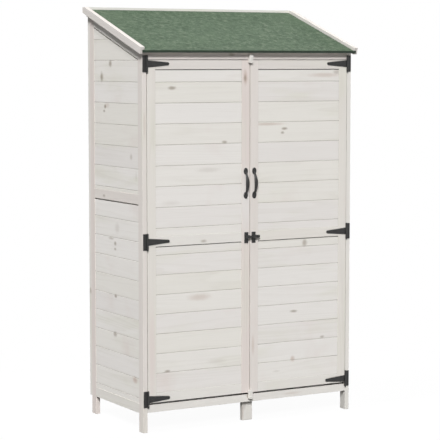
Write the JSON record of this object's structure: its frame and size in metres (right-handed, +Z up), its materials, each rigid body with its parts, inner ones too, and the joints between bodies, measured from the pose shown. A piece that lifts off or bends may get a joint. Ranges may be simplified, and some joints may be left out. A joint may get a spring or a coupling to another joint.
{
  "type": "garden shed",
  "caption": "Whitewashed fir garden shed with a lean-to felt roof, plank walls and doors on black T-hinges, bow handles, a slide bolt and wooden turn buttons.",
  "frame": {"origin": "on the ground, at the centre of the overall box", "axes": "+Z up, +Y from the doors to the back, +X to the right along the front"},
  "size_m": [1.038, 0.5357, 1.7302],
  "materials": {
    "whitewashed_fir": "matte",
    "roof_felt": "matte",
    "zinc_steel": "satin",
    "black_steel": "satin"
  },
  "bodies": {
    "frame": {"left_front_post": "whitewashed_fir", "left_rear_post": "whitewashed_fir", "left_top_rail": "whitewashed_fir", "left_mid_rail": "whitewashed_fir", "left_bottom_rail": "whitewashed_fir", "left_upper_planks": "whitewashed_fir", "left_lower_planks": "whitewashed_fir", "right_front_post": "whitewashed_fir", "right_rear_post": "whitewashed_fir", "right_top_rail": "whitewashed_fir", "right_mid_rail": "whitewashed_fir", "right_bottom_rail": "whitewashed_fir", "right_upper_planks": "whitewashed_fir", "right_lower_planks": "whitewashed_fir", "back_stiles": "whitewashed_fir", "back_top_rail": "whitewashed_fir", "back_mid_rail": "whitewashed_fir", "back_bottom_rail": "whitewashed_fir", "back_planks": "whitewashed_fir", "front_header": "whitewashed_fir", "front_bottom_rail": "whitewashed_fir", "front_roof_batten": "whitewashed_fir", "centre_leg": "whitewashed_fir", "floor_boards": "whitewashed_fir", "floor_bearers": "whitewashed_fir", "roof_deck": "whitewashed_fir", "roof_felt": "roof_felt", "left_barge_board": "whitewashed_fir", "right_barge_board": "whitewashed_fir", "rear_roof_trim": "whitewashed_fir", "hinge_plates": "black_steel", "hinge_pins": "black_steel", "hinge_plate_screws": "black_steel", "panel_screws": "black_steel", "turn_button_screws": "zinc_steel"},
    "left_door": {"left_door_hinge_stile": "whitewashed_fir", "left_door_meeting_stile": "whitewashed_fir", "left_door_top_rail": "whitewashed_fir", "left_door_mid_rail": "whitewashed_fir", "left_door_bottom_rail": "whitewashed_fir", "left_door_upper_planks": "whitewashed_fir", "left_door_lower_planks": "whitewashed_fir", "left_hinge_straps": "black_steel", "left_door_screws": "black_steel", "left_handle": "black_steel", "bolt_keeper": "black_steel"},
    "right_door": {"right_door_hinge_stile": "whitewashed_fir", "right_door_meeting_stile": "whitewashed_fir", "right_door_top_rail": "whitewashed_fir", "right_door_mid_rail": "whitewashed_fir", "right_door_bottom_rail": "whitewashed_fir", "right_door_upper_planks": "whitewashed_fir", "right_door_lower_planks": "whitewashed_fir", "right_hinge_straps": "black_steel", "right_door_screws": "black_steel", "right_handle": "black_steel", "bolt_bracket": "black_steel"},
    "slide_bolt": {"bolt_rod": "black_steel"},
    "top_button": {"top_turn_button": "whitewashed_fir"},
    "bottom_button": {"bottom_turn_button": "whitewashed_fir"}
  },
  "joints": [
    {"name": "left_door_hinge", "type": "hinge", "parent": "frame", "child": "left_door", "pos_m": [-0.47975, -0.24787, 0.8], "axis": [0, 0, -1], "range_deg": [0, 165]},
    {"name": "right_door_hinge", "type": "hinge", "parent": "frame", "child": "right_door", "pos_m": [0.47975, -0.24787, 0.8], "axis": [0, 0, 1], "range_deg": [0, 165]},
    {"name": "bolt_slide", "type": "slide", "parent": "right_door", "child": "slide_bolt", "axis": [1, 0, 0], "range_m": [0, 0.03]},
    {"name": "top_button_turn", "type": "hinge", "parent": "frame", "child": "top_button", "pos_m": [0, -0.24307, 1.5231], "axis": [0, 1, 0], "range_deg": [-90, 90]},
    {"name": "bottom_button_turn", "type": "hinge", "parent": "frame", "child": "bottom_button", "pos_m": [0, -0.24307, 0.1051], "axis": [0, 1, 0], "range_deg": [-90, 90]}
  ]
}
